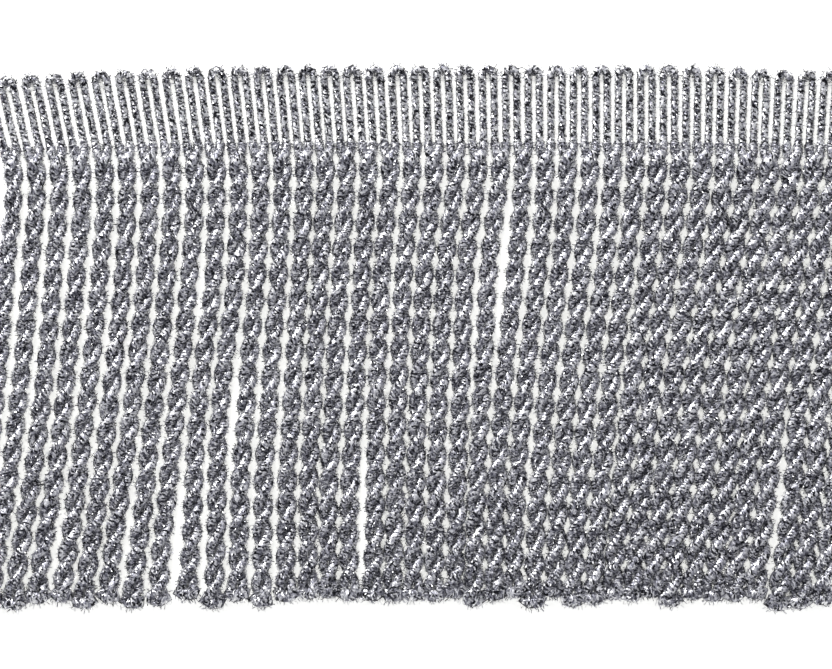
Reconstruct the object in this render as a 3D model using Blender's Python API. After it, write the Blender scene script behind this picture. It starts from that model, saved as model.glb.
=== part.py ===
"""Bullion fringe trim, one cut length lying flat on its back.

Units are metres with +Z up. X runs along the trim, the bullions hang towards -Y, and Z = 0 is
the surface it lies on. The origin is the middle of the heading's flat back.

One metallic yarn makes the whole trim. It runs up as a leg, over as an arch and down as the
next leg, and where two legs meet it goes on down as one twisted two-ply bullion, turns at the
hem and comes back up.
"""
import math
import random

import bmesh
import bpy

MM = 0.001

# The trim: a 4 inch fringe with one bullion every 4.17 mm.
BULLIONS = 40
PITCH = 4.17 * MM
LEG_PITCH = PITCH / 2

# How far the bullions begin from where even spacing would have them, in mm.
DRIFT = (
    # along, drift
    (-90.0, -0.6),
    (-76.0, 0.0),
    (-50.0, 0.55),
    (-27.0, 0.4),
    (-19.0, 0.05),
    (4.0, -0.2),
    (30.0, 0.0),
    (56.0, 0.25),
    (90.0, 0.45),
)

# The heading: arched legs of yarn side by side, bound flat.
HEADING_TOP = 7.6 * MM
LEG_HEIGHT = 1.5 * MM
LEG_CREST = 0.84 * MM
GROOVE_FLOOR = 0.35 * MM
EDGE_HEIGHT = 0.75 * MM
NOTCH_DEPTH = 1.9 * MM
ARCH_CENTRE_DEPTH = 1.9 * MM
ARCH_OUTER = 1.9 * MM
ARCH_CREST = 1.0 * MM
LEG_ROWS = 3

# The strip that the bullions hang from, parted from the heading.
BASELINE = -8.35 * MM
STRIP_WIDTH = 0.75 * MM
PARTING_GAP = 0.3 * MM

# One bullion: two plies, a quarter turn between sections, so a lobe is two sections long.
WIDE = 1.68 * MM
NARROW = 0.95 * MM
FIRST_QUARTER = 1.35 * MM
QUARTER_TURN = 2.41 * MM
HANG = 84.6 * MM
TUFT_WIDE = 1.6 * MM
TUFT_NARROW = 1.3 * MM
TUFT_TIP = 1.5 * MM

# Towards its ends the band droops and its legs lean, as a band does when it is not pinned straight.
DROOP = 2.2 * MM
DROOP_FROM = -27.0 * MM
DROOP_TO = -82.0 * MM
DROOP_BEND = 1.6
BASELINE_SHARE = 0.45
RIGHT_DROOP = 0.9 * MM
RIGHT_DROOP_FROM = 44.0 * MM
RIGHT_DROOP_TO = 64.0 * MM
LEAN = 0.24
LEAN_FROM = 24.0 * MM
LEAN_TO = -82.0 * MM
LEAN_BEND = 1.3
RIGHT_LEAN = 0.066
RIGHT_LEAN_FROM = 40.0 * MM
RIGHT_LEAN_TO = 72.0 * MM

# How far the skirt has swayed along the trim, in mm: place along the trim, then the sway at
# each quarter of the way down.
SWAY = (
    # along, quarter, half, three quarters, hem
    (-82.0, -0.8, -2.4, -5.0, -8.5),
    (-62.0, -0.2, -2.3, -4.7, -7.9),
    (-50.0, -0.3, -2.4, -4.9, -7.2),
    (-40.0, -0.2, -2.4, -3.9, -4.6),
    (-25.0, -0.6, -1.9, -2.9, -3.0),
    (-8.0, -1.4, -2.4, -3.1, -3.6),
    (8.0, -2.1, -3.3, -4.1, -4.7),
    (16.0, -1.5, -3.5, -5.2, -5.8),
    (34.0, -1.6, -4.3, -6.3, -7.9),
    (51.0, -2.5, -5.7, -7.8, -10.4),
    (67.0, -3.6, -6.6, -8.6, -11.4),
    (90.0, -4.5, -7.5, -9.3, -11.8),
)

# Where neighbouring bullions have parted: the bullion left of the opening, the part of the
# hang that it spans, and how wide it is in mm.
PARTINGS = (
    # after bullion, from, to, width
    (3, 0.66, 1.05, 0.5),
    (6, 0.60, 1.05, 0.5),
    (8, 0.14, 0.46, 0.5),
    (8, 0.66, 1.05, 0.6),
    (10, 0.42, 0.74, 0.5),
    (16, 0.54, 1.05, 0.7),
    (22, 0.02, 0.46, 0.7),
    (36, 0.50, 1.08, 0.9),
)
PARTING_REACH = 2.0

HEM_UNEVEN = 1.1 * MM
TURN_UNEVEN = 0.022
WANDER = 0.07 * MM
WANDER_BENDS = 5.0
STILL_ROOT = 0.2
SEED = 4

SHARP_FOLD = math.radians(50)

YARN_GREY = (0.25, 0.25, 0.28, 1.0)
HEADING_GREY = (0.30, 0.30, 0.33, 1.0)


def ramp(value, start, end):
    """0 at start, 1 at end, with soft ends."""
    share = min(max((value - start) / (end - start), 0.0), 1.0)
    return share * share * (3 - 2 * share)


def slide(value, start, end):
    """0 at start, 1 at end, in a straight line."""
    return min(max((value - start) / (end - start), 0.0), 1.0)


def values_at(rows, x):
    """A table's values at x, from its two nearest rows, both the places and the values in mm."""
    last = len(rows) - 2
    row = 0
    while row < last and x > rows[row + 1][0] * MM:
        row += 1
    before = rows[row]
    after = rows[row + 1]
    share = slide(x, before[0] * MM, after[0] * MM)
    return [(first + (second - first) * share) * MM for first, second in zip(before[1:], after[1:])]


def bullion_x(place):
    """Where the bullion numbered place begins; a half number is the slit inside a loop."""
    even = (place - (BULLIONS - 1) / 2) * PITCH
    return even + values_at(DRIFT, even)[0]


def droop(x):
    """How far the band's top edge has dropped at x."""
    left = DROOP * slide(x, DROOP_FROM, DROOP_TO) ** DROOP_BEND
    right = RIGHT_DROOP * ramp(x, RIGHT_DROOP_FROM, RIGHT_DROOP_TO)
    return left + right


def baseline(x):
    """The line along which the bullions leave the strip."""
    return BASELINE - BASELINE_SHARE * droop(x)


def heading_foot(x):
    return baseline(x) + STRIP_WIDTH + PARTING_GAP


def lean(x):
    """How far a leg moves along the trim for each unit that it runs down."""
    left = LEAN * slide(x, LEAN_FROM, LEAN_TO) ** LEAN_BEND
    return left - RIGHT_LEAN * slide(x, RIGHT_LEAN_FROM, RIGHT_LEAN_TO)


def sway_at(x, depth):
    """The skirt's sway at x, at a depth from 0 at the strip to 1 at the hem, as a smooth curve."""
    knots = [0.0] + values_at(SWAY, x)
    spans = len(knots) - 1
    span = min(int(depth * spans), spans - 1)
    share = depth * spans - span
    start = knots[span]
    end = knots[span + 1]
    # A bullion leaves the strip the way its legs lean.
    before = knots[span - 1] if span > 0 else end - 2 * lean(x) * HANG / spans
    after = knots[span + 2] if span + 2 <= spans else 2 * end - start
    bend = 2 * before - 5 * start + 4 * end - after
    turn = 3 * (start - end) + after - before
    return start + share * (end - before + share * (bend + share * turn)) / 2


def parted(bullion, depth):
    """How far a bullion is pushed aside by the openings beside it."""
    push = 0.0
    for after, top, bottom, width in PARTINGS:
        middle = (top + bottom) / 2
        opened = ramp(depth, top, middle) * (1 - ramp(depth, middle, bottom))
        steps = bullion - after if bullion > after else after + 1 - bullion
        side = 1 if bullion > after else -1
        push += side * width / 2 * MM * opened * math.exp(-(steps - 1) / PARTING_REACH)
    return push


def metallic_yarn(name, colour):
    material = bpy.data.materials.new(name)
    material.use_nodes = True
    shader = material.node_tree.nodes["Principled BSDF"]
    shader.inputs["Base Color"].default_value = colour
    shader.inputs["Roughness"].default_value = 0.4
    shader.inputs["Metallic"].default_value = 0.7
    material.diffuse_color = colour
    return material


def finished(bm, name, material):
    """Make the mesh one smooth-shaded object."""
    bmesh.ops.recalc_face_normals(bm, faces=bm.faces)
    mesh = bpy.data.meshes.new(name)
    bm.to_mesh(mesh)
    bm.free()
    mesh.materials.append(material)
    mesh.shade_smooth()
    mesh.set_sharp_from_angle(angle=SHARP_FOLD)
    made = bpy.data.objects.new(name, mesh)
    bpy.context.collection.objects.link(made)
    return made


def leg_column(bm, foot_x, offset, height):
    """A line of points up the heading's face, leaning as the legs do, foot first."""
    x = foot_x + offset
    foot = heading_foot(x)
    rise = HEADING_TOP - droop(x) - NOTCH_DEPTH - foot
    column = []
    for row in range(LEG_ROWS + 1):
        climbed = rise * row / LEG_ROWS
        column.append(bm.verts.new((x - lean(x) * climbed, foot + climbed, height)))
    return column


def groove_between_loops(bm, place):
    """The groove over one bullion, with the two points of the back under its ends."""
    column = leg_column(bm, bullion_x(place), 0.0, GROOVE_FLOOR)
    back = [bm.verts.new((end.co.x, end.co.y, 0.0)) for end in (column[0], column[-1])]
    return column, back


def add_arch(bm, columns, left_back, right_back):
    """Close the top of one loop: the crest over its slit, the rounded edge and the wall below."""
    left, left_leg_out, left_leg_in, slit, right_leg_in, right_leg_out, right = (
        column[-1] for column in columns)
    centre_x = slit.co.x
    centre_y = HEADING_TOP - droop(centre_x) - ARCH_CENTRE_DEPTH
    crest = []
    rim = [left]
    back = [left_back]
    for angle in (135, 90, 45):
        across = math.cos(math.radians(angle))
        up = math.sin(math.radians(angle))
        x = centre_x + ARCH_OUTER * across
        y = centre_y + ARCH_OUTER * up
        crest.append(bm.verts.new((centre_x + ARCH_CREST * across, centre_y + ARCH_CREST * up,
                                   LEG_HEIGHT)))
        rim.append(bm.verts.new((x, y, EDGE_HEIGHT)))
        back.append(bm.verts.new((x, y, 0.0)))
    rim.append(right)
    back.append(right_back)
    inner = [left_leg_in] + crest + [right_leg_in]
    for first, second in zip(inner, inner[1:]):
        bm.faces.new((slit, second, first))
    bm.faces.new((left_leg_out, left_leg_in, crest[0]))
    bm.faces.new((right_leg_out, crest[-1], right_leg_in))
    outer = [left_leg_out] + crest + [right_leg_out]
    for step in range(len(outer) - 1):
        following = step + 1
        bm.faces.new((outer[step], outer[following], rim[following], rim[step]))
        bm.faces.new((rim[step], rim[following], back[following], back[step]))
    return back


def add_loop(bm, loop, left_groove, right_groove):
    """One loop of the heading: two raised legs, the slit between them and the arch over them."""
    left, left_back = left_groove
    right, right_back = right_groove
    slit_x = bullion_x(loop - 0.5)
    half_leg = LEG_PITCH / 2
    half_crest = LEG_CREST / 2
    columns = [left]
    columns.append(leg_column(bm, slit_x, -half_leg - half_crest, LEG_HEIGHT))
    columns.append(leg_column(bm, slit_x, -half_leg + half_crest, LEG_HEIGHT))
    columns.append(leg_column(bm, slit_x, 0.0, GROOVE_FLOOR))
    columns.append(leg_column(bm, slit_x, half_leg - half_crest, LEG_HEIGHT))
    columns.append(leg_column(bm, slit_x, half_leg + half_crest, LEG_HEIGHT))
    columns.append(right)
    for first, second in zip(columns, columns[1:]):
        for row in range(LEG_ROWS):
            bm.faces.new((first[row], second[row], second[row + 1], first[row + 1]))
    back = add_arch(bm, columns, left_back[1], right_back[1])
    feet = [column[0] for column in columns]
    bm.faces.new([left_back[0], right_back[0]] + feet[::-1])
    bm.faces.new(back + [right_back[0], left_back[0]])


def heading():
    """The band: a slab with every leg raised on its face and an arch over each loop."""
    bm = bmesh.new()
    grooves = [groove_between_loops(bm, place) for place in range(-1, BULLIONS + 1)]
    for loop in range(BULLIONS + 1):
        add_loop(bm, loop, grooves[loop], grooves[loop + 1])
    for column, back in (grooves[0], grooves[-1]):
        bm.faces.new(column + back[::-1])
    bmesh.ops.triangulate(bm, faces=bm.faces)
    return finished(bm, "heading", metallic_yarn("heading yarn", HEADING_GREY))


def quarter_sections(rng):
    """One bullion's sections from its root down: distance hung, half width, half height, rise."""
    turn = QUARTER_TURN * (1 + rng.uniform(-TURN_UNEVEN, TURN_UNEVEN))
    length = HANG + rng.uniform(-HEM_UNEVEN, HEM_UNEVEN)
    sections = [(0.0, WIDE, NARROW, NARROW)]
    hung = FIRST_QUARTER
    wide_sides = False
    while hung < length - TUFT_TIP - turn / 2:
        sides = WIDE if wide_sides else NARROW
        front = NARROW if wide_sides else WIDE
        sections.append((hung, sides, front, WIDE))
        wide_sides = not wide_sides
        hung += turn
    # The turn at the hem, a round tuft whichever way the plies lie.
    sections.append((length - TUFT_TIP, TUFT_WIDE, TUFT_NARROW, WIDE))
    return sections, length


def add_bullion(bm, bullion, rng):
    """One twisted bullion; returns its root corners in the order right, front, left, back."""
    root_x = bullion_x(bullion)
    root_y = baseline(root_x)
    wander = rng.uniform(0, 2 * math.pi)
    sections, length = quarter_sections(rng)

    def centre(hung):
        depth = hung / HANG
        shift = sway_at(root_x, depth) + parted(bullion, depth)
        bend = math.sin(wander + WANDER_BENDS * depth)
        shift += WANDER * bend * slide(depth, 0.0, STILL_ROOT)
        return root_x + shift, root_y - hung

    rings = []
    for hung, sides, front, rise in sections:
        x, y = centre(hung)
        corners = ((x + sides, rise), (x, rise + front), (x - sides, rise), (x, rise - front))
        rings.append([bm.verts.new((across, y, up)) for across, up in corners])
    for upper, lower in zip(rings, rings[1:]):
        for corner in range(4):
            after = (corner + 1) % 4
            # Every ridge and every hollow runs the way of the twist, down to the next corner.
            bm.faces.new((upper[corner], upper[after], lower[after]))
            bm.faces.new((upper[corner], lower[after], lower[corner]))
    x, y = centre(length)
    tip = bm.verts.new((x, y, WIDE))
    for corner in range(4):
        bm.faces.new((rings[-1][corner], rings[-1][(corner + 1) % 4], tip))
    return rings[0]


def bullion_skirt():
    """The narrow strip with every bullion fused to it at its root."""
    bm = bmesh.new()
    rng = random.Random(SEED)
    thickness = 2 * NARROW
    roots = [add_bullion(bm, bullion, rng) for bullion in range(BULLIONS)]

    def strip_end(x):
        """The strip's four corners at x: lower front, lower back, upper front, upper back."""
        low = baseline(x)
        high = low + STRIP_WIDTH
        return [bm.verts.new((x, y, z)) for y, z in
                ((low, thickness), (low, 0.0), (high, thickness), (high, 0.0))]

    left_end = strip_end(bullion_x(-1))
    right_end = strip_end(bullion_x(BULLIONS))
    upper = [(left_end[2], left_end[3])]
    for root in roots:
        x = root[1].co.x
        high = root[1].co.y + STRIP_WIDTH
        upper.append((bm.verts.new((x, high, thickness)), bm.verts.new((x, high, 0.0))))
    upper.append((right_end[2], right_end[3]))
    fronts = [left_end[0]] + [root[1] for root in roots] + [right_end[0]]
    backs = [left_end[1]] + [root[3] for root in roots] + [right_end[1]]
    for place in range(BULLIONS + 1):
        following = place + 1
        bm.faces.new((fronts[place], fronts[following], upper[following][0], upper[place][0]))
        bm.faces.new((backs[following], backs[place], upper[place][1], upper[following][1]))
        bm.faces.new((upper[place][0], upper[following][0], upper[following][1], upper[place][1]))
        # The strip's lower edge between two roots, parted along its middle.
        before = [roots[place - 1][0]] if place > 0 else []
        after = [roots[place][2]] if place < BULLIONS else []
        bm.faces.new([fronts[place]] + before + after + [fronts[following]])
        bm.faces.new([backs[following]] + after + before + [backs[place]])
    bm.faces.new((fronts[0], backs[0], roots[0][2]))
    bm.faces.new((fronts[-1], backs[-1], roots[-1][0]))
    for end in (left_end, right_end):
        bm.faces.new((end[0], end[1], end[3], end[2]))
    bmesh.ops.triangulate(bm, faces=bm.faces)
    return finished(bm, "bullion_skirt", metallic_yarn("bullion yarn", YARN_GREY))


def build():
    for old in list(bpy.data.objects):
        bpy.data.objects.remove(old, do_unlink=True)
    heading()
    bullion_skirt()


build()
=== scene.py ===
"""Bullion fringe trim: the finish of every surface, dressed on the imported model.

Units are metres with +Z up. X runs along the trim, the bullions hang towards -Y, and Z = 0 is
the surface it lies on. The yarn's lines repeat those that the solids were built on.
"""

import math
import random

import bpy
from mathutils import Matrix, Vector


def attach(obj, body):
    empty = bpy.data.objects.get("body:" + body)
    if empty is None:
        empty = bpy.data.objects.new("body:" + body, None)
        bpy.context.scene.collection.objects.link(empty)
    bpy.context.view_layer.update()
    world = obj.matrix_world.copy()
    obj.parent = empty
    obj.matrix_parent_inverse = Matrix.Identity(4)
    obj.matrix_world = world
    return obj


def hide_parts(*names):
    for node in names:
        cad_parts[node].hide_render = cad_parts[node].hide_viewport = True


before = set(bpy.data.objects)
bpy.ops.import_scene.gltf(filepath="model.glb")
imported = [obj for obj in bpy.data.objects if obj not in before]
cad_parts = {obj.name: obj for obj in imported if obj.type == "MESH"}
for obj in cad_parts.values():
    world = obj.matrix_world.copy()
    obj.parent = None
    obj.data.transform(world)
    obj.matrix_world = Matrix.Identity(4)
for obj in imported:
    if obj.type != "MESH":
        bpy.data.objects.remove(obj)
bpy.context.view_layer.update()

# The yarn.
# One metallised film yarn makes the whole trim. Slit film is wound round a soft core of threads
# and its cut ends stand out all round, so that it is banded across and feathered at its edges.
MM = 0.001
FULL_TURN = 2 * math.pi
GOLDEN_ANGLE = math.radians(137.5)
# The sizes of a yarn: its core, then its cut film ends: how far apart they come, how far from the
# yarn's middle they start, their length and width, and the most that one leans, in radians.
YARN_SIZES = ("Core Radius", "End Spacing", "End Root", "End Length", "End Width", "End Lean")
CORE_STEP = 1.0 * MM
CORE_SIDES = 6
END_TWIST = math.radians(22)
END_ROOT_SHARE = 0.7
# No film lies lower than this over the table.
LOWEST = 0.02 * MM
# Each chance in the yarn has a seed of its own, added to the piece's seed.
ROLL_DICE = 13
LEAN_DICE = 14
LENGTH_DICE = 15
WIDTH_DICE = 16
AROUND_DICE = 17
TONE_DICE = 18
AROUND_SLACK = 0.5
LENGTH_CHANCE = (0.6, 1.2)
WIDTH_CHANCE = (0.6, 1.3)
# Painted reflections: what a film end shows of the room, painted into its colour from near black to
# white; and painted shade, how dark it is at its root.
END_PAINTED_REFLECTIONS = [(0.1, "#22222c"), (0.4, "#7c7c86"), (0.6, "#c3c3cc"), (0.75, "#ffffff")]
END_ROOT_PAINTED_SHADE = 0.6
# Wound film crosses the yarn a little aslant.
STRIP_SLANT = 0.3
CRUMPLE_PER_MM = 6.0
CRUMPLE_DEPTH = 0.05 * MM
# How far along the wound film's pattern each route starts after the one before it.
PATTERN_SHIFT = 0.317


def add_node(tree, kind, links=None, **settings):
    """Add one node: its settings, then its sockets, each a plain value or another node's output."""
    node = tree.nodes.new(kind)
    for setting, value in settings.items():
        setattr(node, setting, value)
    for socket, value in (links or {}).items():
        if isinstance(value, bpy.types.NodeSocket):
            tree.links.new(value, node.inputs[socket])
        else:
            node.inputs[socket].default_value = value
    return node


def film_end():
    """One cut end of film, 1 long and 1 wide at its tip, twisted, as a closed four-faced sliver."""
    half = 0.5
    root = half * END_ROOT_SHARE
    across = half * math.cos(END_TWIST)
    lift = half * math.sin(END_TWIST)
    corners = [(0, -root, 0), (0, root, 0), (1, -across, -lift), (1, across, lift)]
    faces = [(0, 2, 1), (1, 2, 3), (0, 1, 3), (0, 3, 2)]
    mesh = bpy.data.meshes.new("film_end")
    mesh.from_pydata(corners, [], faces)
    tip = mesh.attributes.new("tip", "FLOAT", "POINT")
    tip.data.foreach_set("value", [0.0, 0.0, 1.0, 1.0])
    made = bpy.data.objects.new("film_end", mesh)
    bpy.context.collection.objects.link(made)
    return made


def film_yarn_tree():
    """Geometry Nodes that turn a route into yarn: a core of wound film, and its cut ends."""
    tree = bpy.data.node_groups.new("film_yarn", "GeometryNodeTree")
    tree.interface.new_socket("Geometry", in_out="INPUT", socket_type="NodeSocketGeometry")
    for size in YARN_SIZES:
        tree.interface.new_socket(size, in_out="INPUT", socket_type="NodeSocketFloat")
    tree.interface.new_socket("Seed", in_out="INPUT", socket_type="NodeSocketInt")
    tree.interface.new_socket("Film End", in_out="INPUT", socket_type="NodeSocketObject")
    tree.interface.new_socket("Finish", in_out="INPUT", socket_type="NodeSocketMaterial")
    tree.interface.new_socket("Geometry", in_out="OUTPUT", socket_type="NodeSocketGeometry")
    given = tree.nodes.new("NodeGroupInput").outputs

    def maths(operation, first, second):
        return add_node(tree, "ShaderNodeMath", {0: first, 1: second},
                        operation=operation).outputs[0]

    def chance(low, high, dice):
        seed = maths("ADD", given["Seed"], dice)
        return add_node(tree, "FunctionNodeRandomValue", {2: low, 3: high, "Seed": seed},
                        data_type="FLOAT").outputs[1]

    def vector(x, y, z):
        return add_node(tree, "ShaderNodeCombineXYZ", {"X": x, "Y": y, "Z": z}).outputs[0]

    def attribute(name):
        read = add_node(tree, "GeometryNodeInputNamedAttribute", {"Name": name}, data_type="FLOAT")
        return read.outputs["Attribute"]

    def store(geometry, name, value, kind="FLOAT", domain="POINT"):
        return add_node(tree, "GeometryNodeStoreNamedAttribute",
                        {"Geometry": geometry, "Name": name, "Value": value},
                        data_type=kind, domain=domain).outputs[0]

    def turned(rotation, euler):
        by = add_node(tree, "FunctionNodeEulerToRotation", {"Euler": euler}).outputs[0]
        return add_node(tree, "FunctionNodeRotateRotation", {"Rotation": rotation, "Rotate By": by},
                        rotation_space="LOCAL").outputs[0]

    lines = add_node(tree, "GeometryNodeMeshToCurve", {"Mesh": given["Geometry"]})
    route = add_node(tree, "GeometryNodeCurveSplineType", {"Curve": lines.outputs[0]},
                     spline_type="CATMULL_ROM").outputs[0]
    girth = attribute("girth")

    # The core, with the length run and the way it faces kept for the wound film's pattern.
    steps = add_node(tree, "GeometryNodeResampleCurve", {"Curve": route, "Length": CORE_STEP},
                     mode="LENGTH").outputs[0]
    run = add_node(tree, "GeometryNodeSplineParameter").outputs["Length"]
    steps = store(steps, "run", maths("ADD", run, attribute("start")))
    ring = add_node(tree, "GeometryNodeCurvePrimitiveCircle",
                    {"Resolution": CORE_SIDES, "Radius": given["Core Radius"]}).outputs[0]
    ring = store(ring, "facing", add_node(tree, "GeometryNodeInputPosition").outputs[0],
                 "FLOAT_VECTOR")
    core = add_node(tree, "GeometryNodeCurveToMesh",
                    {"Curve": steps, "Profile Curve": ring, "Scale": girth, "Fill Caps": True})
    core = add_node(tree, "GeometryNodeSetShadeSmooth", {"Geometry": core.outputs[0]})
    core = store(core.outputs[0], "core", 1.0)

    # The cut ends' roots, each turned round the core by the golden angle from the one before.
    roots = add_node(tree, "GeometryNodeCurveToPoints",
                     {"Curve": route, "Length": given["End Spacing"]}, mode="LENGTH")
    along = add_node(tree, "FunctionNodeAxesToRotation",
                     {"Primary Axis": roots.outputs["Tangent"],
                      "Secondary Axis": roots.outputs["Normal"]},
                     primary_axis="Z", secondary_axis="X").outputs[0]
    index = add_node(tree, "GeometryNodeInputIndex").outputs[0]
    around = maths("ADD", maths("MULTIPLY", index, GOLDEN_ANGLE),
                   chance(-AROUND_SLACK, AROUND_SLACK, AROUND_DICE))
    facing = turned(along, vector(0.0, 0.0, around))
    out = vector(maths("MULTIPLY", girth, given["End Root"]), 0.0, 0.0)
    outward = add_node(tree, "FunctionNodeRotateVector", {"Vector": out, "Rotation": facing})
    placed = add_node(tree, "GeometryNodeSetPosition",
                      {"Geometry": roots.outputs["Points"], "Offset": outward.outputs[0]})

    # The cut ends, which stand out from the core at any lean and any roll.
    lean = given["End Lean"]
    standing = vector(chance(0.0, FULL_TURN, ROLL_DICE),
                      chance(maths("MULTIPLY", lean, -1.0), lean, LEAN_DICE), 0.0)
    reach = maths("MULTIPLY", given["End Length"], attribute("reach"))
    length = maths("MULTIPLY", reach, chance(*LENGTH_CHANCE, LENGTH_DICE))
    width = maths("MULTIPLY", given["End Width"], chance(*WIDTH_CHANCE, WIDTH_DICE))
    end = add_node(tree, "GeometryNodeObjectInfo", {"Object": given["Film End"]})
    ends = add_node(tree, "GeometryNodeInstanceOnPoints",
                    {"Points": placed.outputs[0], "Instance": end.outputs["Geometry"],
                     "Rotation": turned(facing, standing),
                     "Scale": vector(length, width, width)})
    ends = store(ends.outputs[0], "film", chance(0.0, 1.0, TONE_DICE), domain="INSTANCE")

    both = tree.nodes.new("GeometryNodeJoinGeometry")
    for part in (core, ends):
        tree.links.new(part, both.inputs[0])
    made = add_node(tree, "GeometryNodeRealizeInstances", {"Geometry": both.outputs[0]})
    # Film that would reach through the table lies flat on it.
    parts = add_node(tree, "ShaderNodeSeparateXYZ",
                     {0: add_node(tree, "GeometryNodeInputPosition").outputs[0]}).outputs
    lifted = vector(parts["X"], parts["Y"], maths("MAXIMUM", parts["Z"], LOWEST))
    made = add_node(tree, "GeometryNodeSetPosition",
                    {"Geometry": made.outputs[0], "Position": lifted})
    made = add_node(tree, "GeometryNodeSetMaterial",
                    {"Geometry": made.outputs[0], "Material": given["Finish"]})
    result = tree.nodes.new("NodeGroupOutput")
    tree.links.new(made.outputs[0], result.inputs[0])
    return tree


def linear(hex_colour):
    """An sRGB hex colour as the linear colour that shaders take."""
    channels = []
    for start in (1, 3, 5):
        value = int(hex_colour[start:start + 2], 16) / 255
        channels.append(value / 12.92 if value <= 0.04045 else ((value + 0.055) / 1.055) ** 2.4)
    return (*channels, 1.0)


def metallised_film(name, strips_round, strips_along, strip_tilt, strip_painted_reflections):
    """Vacuum-metallised polyester film, slit and wound: each strip and each cut end is painted one
    tone from near black to near white, a painted reflection of its own bit of the room, so the
    yarn is a salt and pepper of near white beside near black; its metallic finish adds real glints.

    strips_round and strips_along say how many strips there are in a millimetre each way."""
    material = bpy.data.materials.new(name)
    material.use_nodes = True
    tree = material.node_tree
    shader = tree.nodes["Principled BSDF"]

    def read(attribute, output="Fac"):
        return add_node(tree, "ShaderNodeAttribute", attribute_name=attribute,
                        attribute_type="GEOMETRY").outputs[output]

    def tones(share, stops):
        node = add_node(tree, "ShaderNodeValToRGB", {"Fac": share})
        elements = node.color_ramp.elements
        while len(elements) < len(stops):
            elements.new(0.5)
        for element, (position, colour) in zip(elements, stops):
            element.position = position
            element.color = linear(colour)
        return node.outputs["Color"]

    def mixed(share, first, second, way="MIX"):
        return add_node(tree, "ShaderNodeMix", {"Factor": share, 6: first, 7: second},
                        data_type="RGBA", blend_type=way).outputs[2]

    # Each cut end is painted one tone, a painted reflection, and painted shade darkens it towards
    # its root.
    # Painted shade: the tip attribute darkens each end's colour towards its root.
    depth = add_node(tree, "ShaderNodeMapRange",
                     {"Value": read("tip"), "To Min": END_ROOT_PAINTED_SHADE, "To Max": 1.0}).outputs[0]
    end_painted_light = mixed(1.0, tones(read("film"), END_PAINTED_REFLECTIONS), depth, "MULTIPLY")

    # The wound film bands the yarn with short strips that lie across it, each with its own tilt
    # and its own painted reflection tone, so that bright ones lie beside dark ones. A fine crumple
    # runs over them.
    facing = add_node(tree, "ShaderNodeSeparateXYZ", {0: read("facing", "Vector")}).outputs

    def scaled(value, per_mm, shift=0.0):
        return add_node(tree, "ShaderNodeMath", {0: value, 1: per_mm / MM, 2: shift},
                        operation="MULTIPLY_ADD").outputs[0]

    def place(round_it, along_it):
        slanted = scaled(facing["X"], STRIP_SLANT * along_it, scaled(read("run"), along_it))
        return add_node(tree, "ShaderNodeCombineXYZ", {"X": scaled(facing["X"], round_it),
                                                       "Y": scaled(facing["Y"], round_it),
                                                       "Z": slanted}).outputs[0]

    strips = add_node(tree, "ShaderNodeTexVoronoi",
                      {"Vector": place(strips_round, strips_along), "Scale": 1.0}).outputs["Color"]
    own = add_node(tree, "ShaderNodeSeparateColor", {0: strips}).outputs[0]
    # The base colour is painted light: painted reflection tones, and painted shade at the ends'
    # roots.
    tone = mixed(read("core"), end_painted_light, tones(own, strip_painted_reflections))
    tree.links.new(tone, shader.inputs["Base Color"])
    crumple = add_node(tree, "ShaderNodeTexNoise",
                       {"Vector": place(CRUMPLE_PER_MM, CRUMPLE_PER_MM), "Scale": 1.0,
                        "Detail": 1.0}).outputs[0]
    bump = add_node(tree, "ShaderNodeBump", {"Height": crumple, "Distance": CRUMPLE_DEPTH,
                                             "Strength": read("core")}).outputs[0]

    def vectors(operation, *values):
        return add_node(tree, "ShaderNodeVectorMath", dict(enumerate(values)),
                        operation=operation).outputs[0]

    either_way = vectors("SUBTRACT", strips, (0.5, 0.5, 0.5))
    tilt = vectors("MULTIPLY", either_way, read("core", "Vector"))
    tilted = vectors("MULTIPLY_ADD", tilt, (strip_tilt, strip_tilt, strip_tilt), bump)
    tree.links.new(vectors("NORMALIZE", tilted), shader.inputs["Normal"])
    # Half matt, because creases too fine to see spread each glint, so the twist stays readable.
    shader.inputs["Metallic"].default_value = 0.6
    shader.inputs["Roughness"].default_value = 0.36
    return material


FILM_END = film_end()
YARN_TREE = film_yarn_tree()


def yarn(name, routes, finish, sizes, seed):
    """A piece of yarn along each route. A route is a list of (point, girth, reach) from end to
    end: girth thickens the yarn there, and reach lengthens its film ends."""
    points = []
    edges = []
    girths = []
    reaches = []
    starts = []
    for number, route in enumerate(routes):
        first = len(points)
        for point, girth, reach in route:
            points.append(point)
            girths.append(girth)
            reaches.append(reach)
            starts.append(number * PATTERN_SHIFT)
        edges += [(step, step + 1) for step in range(first, len(points) - 1)]
    mesh = bpy.data.meshes.new(name)
    mesh.from_pydata(points, edges, [])
    mesh.attributes.new("girth", "FLOAT", "POINT").data.foreach_set("value", girths)
    mesh.attributes.new("reach", "FLOAT", "POINT").data.foreach_set("value", reaches)
    mesh.attributes.new("start", "FLOAT", "POINT").data.foreach_set("value", starts)
    line = bpy.data.objects.new(name + "_route", mesh)
    bpy.context.collection.objects.link(line)
    nodes = line.modifiers.new("film_yarn", "NODES")
    nodes.node_group = YARN_TREE
    values = dict(sizes)
    values["Seed"] = seed
    values["Film End"] = FILM_END
    values["Finish"] = finish
    for socket in YARN_TREE.interface.items_tree:
        if socket.in_out == "INPUT" and socket.name in values:
            nodes[socket.identifier] = values[socket.name]
    spun = line.evaluated_get(bpy.context.evaluated_depsgraph_get())
    plain = bpy.data.meshes.new_from_object(spun)
    plain.name = name
    piece = bpy.data.objects.new(name, plain)
    bpy.context.collection.objects.link(piece)
    bpy.data.objects.remove(line, do_unlink=True)
    return piece


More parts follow.
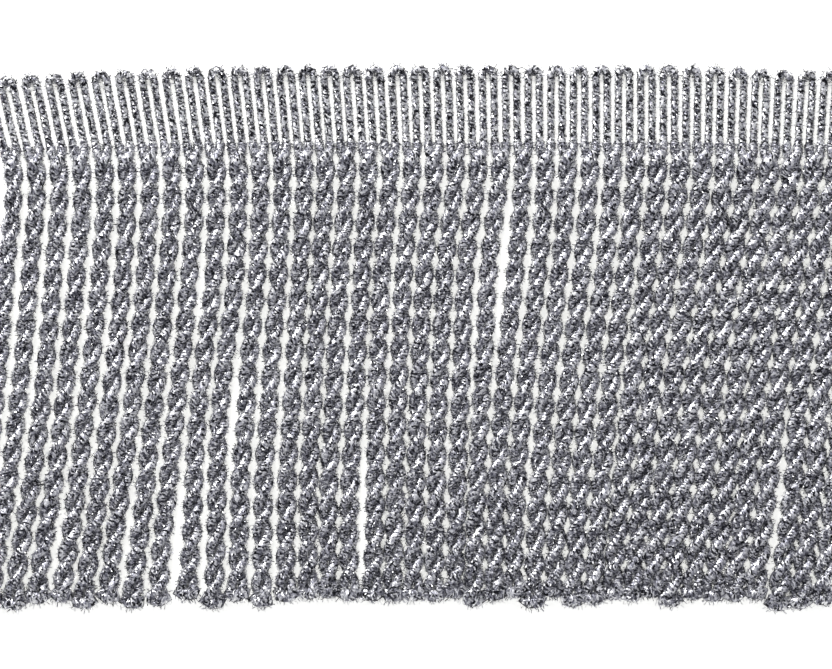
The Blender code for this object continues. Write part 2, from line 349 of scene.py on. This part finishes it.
# Heading.
# The yarn runs up as a leg, over as a small arch and down as the next leg, loop after loop. The
# legs lie side by side, bound flat, and the whole band is what gets sewn or glued on.
BULLIONS = 40
PITCH = 4.17 * MM
LEG_PITCH = PITCH / 2
HALF_PLACE = 0.5
HEADING_TOP = 7.6 * MM
ARCH_CENTRE_DEPTH = 1.5 * MM
BASELINE = -8.35 * MM
STRIP_AND_GAP = 1.05 * MM
# The trim doesn't lie dead straight: its top edge droops and its legs lean, mostly at the left.
DROOP = 2.2 * MM
DROOP_FROM = -27.0 * MM
DROOP_TO = -82.0 * MM
DROOP_BEND = 1.6
BASELINE_SHARE = 0.45
RIGHT_DROOP = 0.9 * MM
RIGHT_DROOP_FROM = 44.0 * MM
RIGHT_DROOP_TO = 64.0 * MM
LEAN = 0.24
LEAN_FROM = 24.0 * MM
LEAN_TO = -82.0 * MM
LEAN_BEND = 1.3
RIGHT_LEAN = 0.066
RIGHT_LEAN_FROM = 40.0 * MM
RIGHT_LEAN_TO = 72.0 * MM
# The yarn thickens a little over an arch, where its film ends fan out, and at the foot of a leg.
LEG_AXIS_HEIGHT = 0.74 * MM
LEG_POINT_STEP = 1.6 * MM
LEG_WANDER = 0.05 * MM
ARCH_GIRTH = 1.12
ARCH_REACH = 1.9
FOOT_GIRTH = 1.2
FOOT_DEPTH = 1.2 * MM
LEG_SEED = 11
# How far the bullions begin from where even spacing would have them, in mm.
DRIFT = (
    # along, drift
    (-90.0, -0.6),
    (-76.0, 0.0),
    (-50.0, 0.55),
    (-27.0, 0.4),
    (-19.0, 0.05),
    (4.0, -0.2),
    (30.0, 0.0),
    (56.0, 0.25),
    (90.0, 0.45),
)


def slide(value, start, end):
    """0 at start, 1 at end, in a straight line."""
    return min(max((value - start) / (end - start), 0.0), 1.0)


def ramp(value, start, end):
    """0 at start, 1 at end, with soft ends."""
    share = slide(value, start, end)
    return share * share * (3 - 2 * share)


def values_at(rows, x):
    """A table's values at x, from its two nearest rows, both the places and the values in mm."""
    last = len(rows) - 2
    row = 0
    while row < last and x > rows[row + 1][0] * MM:
        row += 1
    before = rows[row]
    after = rows[row + 1]
    share = slide(x, before[0] * MM, after[0] * MM)
    return [(first + (second - first) * share) * MM for first, second in zip(before[1:], after[1:])]


def bullion_x(place):
    """Where the bullion numbered place begins; a half number is the slit inside a loop."""
    even = (place - (BULLIONS - 1) / 2) * PITCH
    return even + values_at(DRIFT, even)[0]


def droop(x):
    """How far the band's top edge has dropped at x."""
    left = DROOP * slide(x, DROOP_FROM, DROOP_TO) ** DROOP_BEND
    return left + RIGHT_DROOP * ramp(x, RIGHT_DROOP_FROM, RIGHT_DROOP_TO)


def baseline(x):
    """The line along which the bullions begin."""
    return BASELINE - BASELINE_SHARE * droop(x)


def heading_foot(x):
    """Where the heading's legs end, a little above the bullions."""
    return baseline(x) + STRIP_AND_GAP


def lean(x):
    """How far a leg moves along the trim for each unit that it runs down."""
    left = LEAN * slide(x, LEAN_FROM, LEAN_TO) ** LEAN_BEND
    return left - RIGHT_LEAN * slide(x, RIGHT_LEAN_FROM, RIGHT_LEAN_TO)


def heading_loop(loop, rng):
    """The route of one loop: up its left leg, over the arch and down its right leg."""
    slit_x = bullion_x(loop - HALF_PLACE)
    arch_y = HEADING_TOP - droop(slit_x) - ARCH_CENTRE_DEPTH
    half = LEG_PITCH / 2

    def leg(side):
        x = slit_x + side * half
        foot = heading_foot(x)
        count = math.ceil((arch_y - foot) / LEG_POINT_STEP)
        column = []
        for step in range(count):
            climbed = (arch_y - foot) * step / count
            shift = rng.uniform(-LEG_WANDER, LEG_WANDER)
            girth = FOOT_GIRTH + (1.0 - FOOT_GIRTH) * slide(climbed, 0.0, FOOT_DEPTH)
            column.append((x - lean(x) * climbed + shift, foot + climbed, girth, 1.0))
        return column

    rise = arch_y - heading_foot(slit_x)
    centre_x = slit_x - lean(slit_x) * rise
    line = leg(-1)
    for degrees in (180, 135, 90, 45, 0):
        angle = math.radians(degrees)
        line.append((centre_x + half * math.cos(angle), arch_y + half * math.sin(angle),
                     ARCH_GIRTH, ARCH_REACH))
    line += leg(1)[::-1]
    return [(Vector((x, y, LEG_AXIS_HEIGHT)), girth, reach) for x, y, girth, reach in line]


# The heading's strip tones are painted reflections, near black beside near white.
heading_film = metallised_film(
    "metallised_film_heading_yarn", strips_round=2.6, strips_along=3.4, strip_tilt=1.1,
    strip_painted_reflections=[(0.34, "#0c0c14"), (0.46, "#5c5c66"), (0.56, "#b0b0b9"), (0.68, "#ffffff")])
leg_rng = random.Random(LEG_SEED)
heading = yarn(
    "heading_loops",
    [heading_loop(loop, leg_rng) for loop in range(BULLIONS + 1)],
    heading_film,
    {"Core Radius": 0.68 * MM, "End Spacing": MM / 28, "End Root": 0.54 * MM,
     "End Length": 0.4 * MM, "End Width": 0.15 * MM, "End Lean": 1.0},
    seed=1)
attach(heading, "root")
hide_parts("heading")

# Binding.
# Five rows of fine clear nylon thread run along the heading, over one leg and under the next, and
# hold the legs side by side.
BINDING_ROWS = 5
BINDING_FROM = 4.8 * MM
BINDING_SPACING = 2.5 * MM
THREAD_RADIUS = 0.09 * MM
THREAD_SIDES = 6
THREAD_POINTS = 4
THREAD_CREST = 0.76 * MM
THREAD_LOWEST = 0.12 * MM
FIRST_LEG_PLACE = -0.75


def clear_nylon():
    """Clear nylon monofilament: smooth, so that it shows as a thin glint over each leg."""
    material = bpy.data.materials.new("clear_nylon_monofilament")
    material.use_nodes = True
    shader = material.node_tree.nodes["Principled BSDF"]
    shader.inputs["Base Color"].default_value = linear("#f2f2f6")
    shader.inputs["Transmission Weight"].default_value = 0.9
    shader.inputs["IOR"].default_value = 1.53
    shader.inputs["Roughness"].default_value = 0.15
    return material


def thread(name, lines, finish):
    """Round thread along each line of points."""
    curve = bpy.data.curves.new(name, "CURVE")
    curve.dimensions = "3D"
    curve.bevel_depth = THREAD_RADIUS
    # A round bevel has four sides and two more for each step of its resolution.
    curve.bevel_resolution = (THREAD_SIDES - 4) // 2
    curve.use_fill_caps = True
    for line in lines:
        spline = curve.splines.new("POLY")
        spline.points.add(len(line) - 1)
        for point, place in zip(spline.points, line):
            point.co = (*place, 1.0)
    route = bpy.data.objects.new(name + "_route", curve)
    bpy.context.collection.objects.link(route)
    rounded = route.evaluated_get(bpy.context.evaluated_depsgraph_get())
    solid = bpy.data.meshes.new_from_object(rounded)
    solid.name = name
    solid.materials.clear()
    solid.materials.append(finish)
    bpy.data.objects.remove(route, do_unlink=True)
    made = bpy.data.objects.new(name, solid)
    bpy.context.collection.objects.link(made)
    return made


def binding_row(row):
    """One row: over a leg, under the next, and on to the far end of the heading."""
    points = []
    legs = 2 * (BULLIONS + 1)
    for step in range(legs * THREAD_POINTS + 1):
        leg = step / THREAD_POINTS
        x = bullion_x(leg / 2 + FIRST_LEG_PLACE)
        y = BINDING_FROM - row * BINDING_SPACING - droop(x)
        climbed = y - heading_foot(x)
        height = LEG_AXIS_HEIGHT + THREAD_CREST * math.cos(math.pi * (leg + row))
        points.append((x - lean(x) * climbed, y, max(height, THREAD_LOWEST)))
    return points


binding_rows = [binding_row(row) for row in range(BINDING_ROWS)]
binding = thread("binding_threads", binding_rows, clear_nylon())
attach(binding, "root")

# Bullions.
# Where two legs of the heading meet, their yarn goes on down as one twisted two-ply bullion,
# turns in a round bristly tuft at the hem and comes back up as the other ply.
QUARTER = math.pi / 2
FIRST_QUARTER = 1.35 * MM
QUARTER_TURN = 2.41 * MM
HANG = 84.6 * MM
HEM_UNEVEN = 1.1 * MM
TURN_UNEVEN = 0.022
WANDER = 0.07 * MM
WANDER_BENDS = 5.0
STILL_ROOT = 0.2
BULLION_SEED = 4
PLY_RADIUS = 1.0 * MM
TWIST_WIDE = 0.9 * MM
TWIST_HIGH = 0.68 * MM
AXIS_HEIGHT = 1.68 * MM
ROOT_HEIGHT = 0.95 * MM
POINTS_PER_QUARTER = 3
BULLIONS_A_PIECE = 8
FIRST_PIECE_SEED = 11
LEG_GIRTH = 0.94
LEG_OVERLAP = 0.5 * MM
ROOT_SWELL = 0.13
# The plies lie looser towards the hem, and looser and fuller towards the right.
HEM_WIDER = 0.2
RIGHT_WIDER = 0.16
RIGHT_FULLER = 0.07
RIGHT_FROM = 15.0 * MM
RIGHT_TO = 65.0 * MM
# The turn at the hem: how much it thickens and bristles, how far it drops, and half its width.
TUFT_GIRTH = 0.3
TUFT_REACH = 0.5
TUFT_TURN = 1.25 * MM
TUFT_HALF = 1.5 * MM
# How far the skirt has swayed along the trim, in mm: place along the trim, then the sway at
# each quarter of the way down.
SWAY = (
    # along, quarter, half, three quarters, hem
    (-82.0, -0.8, -2.4, -5.0, -8.5),
    (-62.0, -0.2, -2.3, -4.7, -7.9),
    (-50.0, -0.3, -2.4, -4.9, -7.2),
    (-40.0, -0.2, -2.4, -3.9, -4.6),
    (-25.0, -0.6, -1.9, -2.9, -3.0),
    (-8.0, -1.4, -2.4, -3.1, -3.6),
    (8.0, -2.1, -3.3, -4.1, -4.7),
    (16.0, -1.5, -3.5, -5.2, -5.8),
    (34.0, -1.6, -4.3, -6.3, -7.9),
    (51.0, -2.5, -5.7, -7.8, -10.4),
    (67.0, -3.6, -6.6, -8.6, -11.4),
    (90.0, -4.5, -7.5, -9.3, -11.8),
)
# Where neighbouring bullions have parted: the bullion left of the opening, the part of the
# hang that it spans, and how wide it is in mm.
PARTINGS = (
    # after bullion, from, to, width
    (3, 0.66, 1.05, 0.5),
    (6, 0.60, 1.05, 0.5),
    (8, 0.14, 0.46, 0.5),
    (8, 0.66, 1.05, 0.6),
    (10, 0.42, 0.74, 0.5),
    (16, 0.54, 1.05, 0.7),
    (22, 0.02, 0.46, 0.7),
    (36, 0.50, 1.08, 0.9),
)
PARTING_REACH = 2.0


def sway_at(x, depth):
    """The skirt's sway at x, at a depth from 0 at the strip to 1 at the hem, as a smooth curve."""
    knots = [0.0] + values_at(SWAY, x)
    spans = len(knots) - 1
    span = min(int(depth * spans), spans - 1)
    share = depth * spans - span
    start = knots[span]
    end = knots[span + 1]
    # A bullion leaves the strip the way its legs lean.
    before = knots[span - 1] if span > 0 else end - 2 * lean(x) * HANG / spans
    after = knots[span + 2] if span + 2 <= spans else 2 * end - start
    bend = 2 * before - 5 * start + 4 * end - after
    turn = 3 * (start - end) + after - before
    return start + share * (end - before + share * (bend + share * turn)) / 2


def parted(bullion, depth):
    """How far a bullion is pushed aside by the openings beside it."""
    push = 0.0
    for after, top, bottom, width in PARTINGS:
        middle = (top + bottom) / 2
        opened = ramp(depth, top, middle) * (1 - ramp(depth, middle, bottom))
        steps = bullion - after if bullion > after else after + 1 - bullion
        side = 1 if bullion > after else -1
        push += side * width / 2 * MM * opened * math.exp(-(steps - 1) / PARTING_REACH)
    return push


def bullion_route(bullion, rng):
    """Down one ply, round the turn at the hem and up the other ply, foot of leg to foot of leg."""
    root_x = bullion_x(bullion)
    root_y = baseline(root_x)
    wander = rng.uniform(0, FULL_TURN)
    turn = QUARTER_TURN * (1 + rng.uniform(-TURN_UNEVEN, TURN_UNEVEN))
    length = HANG + rng.uniform(-HEM_UNEVEN, HEM_UNEVEN)
    last_hung = length - TUFT_TURN - PLY_RADIUS
    right = ramp(root_x, RIGHT_FROM, RIGHT_TO)

    def centre(hung):
        depth = hung / HANG
        shift = sway_at(root_x, depth) + parted(bullion, depth)
        shift += WANDER * math.sin(wander + WANDER_BENDS * depth) * slide(depth, 0.0, STILL_ROOT)
        height = ROOT_HEIGHT + (AXIS_HEIGHT - ROOT_HEIGHT) * ramp(hung, 0.0, FIRST_QUARTER)
        return Vector((root_x + shift, root_y - hung, height))

    def ply_angle(hung):
        if hung < FIRST_QUARTER:
            return QUARTER * hung / FIRST_QUARTER
        return QUARTER * (1 + (hung - FIRST_QUARTER) / turn)

    def twist_wide(hung):
        return TWIST_WIDE * (1.0 + RIGHT_WIDER * right + HEM_WIDER * slide(hung, HANG / 2, HANG))

    def ply(hung, half_turns):
        angle = ply_angle(hung) + math.pi * half_turns
        wide = twist_wide(hung)
        return centre(hung) + Vector((wide * math.cos(angle), 0.0, TWIST_HIGH * math.sin(angle)))

    def leg_foot(side):
        x = root_x + side * LEG_PITCH / 2
        return Vector((x, heading_foot(x) + LEG_OVERLAP, LEG_AXIS_HEIGHT))

    def girth(hung):
        swell = ROOT_SWELL * (1 - ramp(hung, FIRST_QUARTER, 4 * FIRST_QUARTER))
        full = 1.0 + swell + RIGHT_FULLER * right
        return LEG_GIRTH + (full - LEG_GIRTH) * ramp(hung, 0.0, FIRST_QUARTER)

    down = []
    hung = 0.0
    while hung < last_hung:
        down.append(hung)
        hung += turn / POINTS_PER_QUARTER
    first_ply = [(ply(hung, 0), girth(hung), 1.0) for hung in down]
    second_ply = [(ply(hung, 1), girth(hung), 1.0) for hung in down]
    end_angle = ply_angle(last_hung)
    wide = twist_wide(last_hung) * math.cos(end_angle)
    side = math.copysign(1.0, wide)
    across = Vector((wide, 0.0, TWIST_HIGH * math.sin(end_angle)))
    bottom = centre(last_hung)
    hem = []
    for degrees in (0, 36, 72, 108, 144, 180):
        angle = math.radians(degrees)
        opened = side * (TUFT_HALF - abs(wide) / 2) * math.sin(2 * angle)
        away = Vector((opened, -TUFT_TURN * math.sin(angle), 0.0))
        point = bottom + across * math.cos(angle) + away
        hem.append((point, 1.0 + TUFT_GIRTH * math.sin(angle), 1.0 + TUFT_REACH * math.sin(angle)))
    start = [(leg_foot(1), LEG_GIRTH, 1.0)]
    finish = [(leg_foot(-1), LEG_GIRTH, 1.0)]
    return start + first_ply + hem + second_ply[::-1] + finish


# The bullions' strip tones are painted reflections, near black beside near white.
bullion_film = metallised_film(
    "metallised_film_bullion_yarn", strips_round=2.3, strips_along=4.0, strip_tilt=0.6,
    strip_painted_reflections=[(0.16, "#14141b"), (0.38, "#6c6c76"), (0.62, "#b6b6bf"), (0.82, "#ffffff")])
bullion_rng = random.Random(BULLION_SEED)
bullion_routes = [bullion_route(bullion, bullion_rng) for bullion in range(BULLIONS)]
for piece in range(BULLIONS // BULLIONS_A_PIECE):
    first = piece * BULLIONS_A_PIECE
    bullions = yarn(
        f"bullions_{piece + 1}", bullion_routes[first:first + BULLIONS_A_PIECE], bullion_film,
        {"Core Radius": 1.0 * MM, "End Spacing": MM / 22, "End Root": 0.85 * MM,
         "End Length": 0.55 * MM, "End Width": 0.17 * MM, "End Lean": 1.0},
        seed=FIRST_PIECE_SEED + piece)
    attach(bullions, "root")
    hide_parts("bullion_skirt")
bpy.data.objects.remove(FILM_END, do_unlink=True)

# Floor, light and camera.
# A white sweep under soft studio light, with the camera straight above, as in the photograph.
FRAME_WIDTH = 156 * MM
FRAME_CENTRE = Vector((-5.57 * MM, -42.75 * MM, 0.0))
CAMERA_DISTANCE = 1.2
FLOOR_HALF = 2.0

floor_mesh = bpy.data.meshes.new("floor")
floor_corners = [(-FLOOR_HALF, -FLOOR_HALF, 0), (FLOOR_HALF, -FLOOR_HALF, 0),
                 (FLOOR_HALF, FLOOR_HALF, 0), (-FLOOR_HALF, FLOOR_HALF, 0)]
floor_mesh.from_pydata(floor_corners, [], [(0, 1, 2, 3)])
floor = bpy.data.objects.new("floor", floor_mesh)
bpy.context.collection.objects.link(floor)
paper = bpy.data.materials.new("white_paper")
paper.use_nodes = True
sheet = paper.node_tree.nodes["Principled BSDF"].inputs
sheet["Base Color"].default_value = linear("#f4f4f2")
sheet["Roughness"].default_value = 0.9
sheet["Emission Color"].default_value = linear("#fffffa")
sheet["Emission Strength"].default_value = 0.66
floor_mesh.materials.append(paper)

scene = bpy.context.scene
scene.view_settings.view_transform = "Standard"
world = bpy.data.worlds.new("studio")
scene.world = world
world.use_nodes = True
room = world.node_tree.nodes["Background"].inputs
room["Color"].default_value = linear("#e6e7ef")
room["Strength"].default_value = 0.56


def softbox(name, place, size, power):
    """A square softbox that faces the middle of the fringe."""
    lamp = bpy.data.lights.new(name, "AREA")
    lamp.size = size
    lamp.energy = power
    made = bpy.data.objects.new(name, lamp)
    bpy.context.collection.objects.link(made)
    made.location = place
    made.rotation_mode = "QUATERNION"
    made.rotation_quaternion = (Vector(place) - FRAME_CENTRE).to_track_quat("Z", "Y")
    return made


softbox("softbox_key", place=(-0.3, 1.0, 0.5), size=0.7, power=24.0)

lens = bpy.data.cameras.new("camera")
lens.sensor_width = 36.0
lens.lens = lens.sensor_width * CAMERA_DISTANCE / FRAME_WIDTH
lens.clip_start = 0.1
lens.clip_end = 5.0
camera = bpy.data.objects.new("camera", lens)
bpy.context.collection.objects.link(camera)
camera.location = FRAME_CENTRE + Vector((0.0, 0.0, CAMERA_DISTANCE))
scene.camera = camera
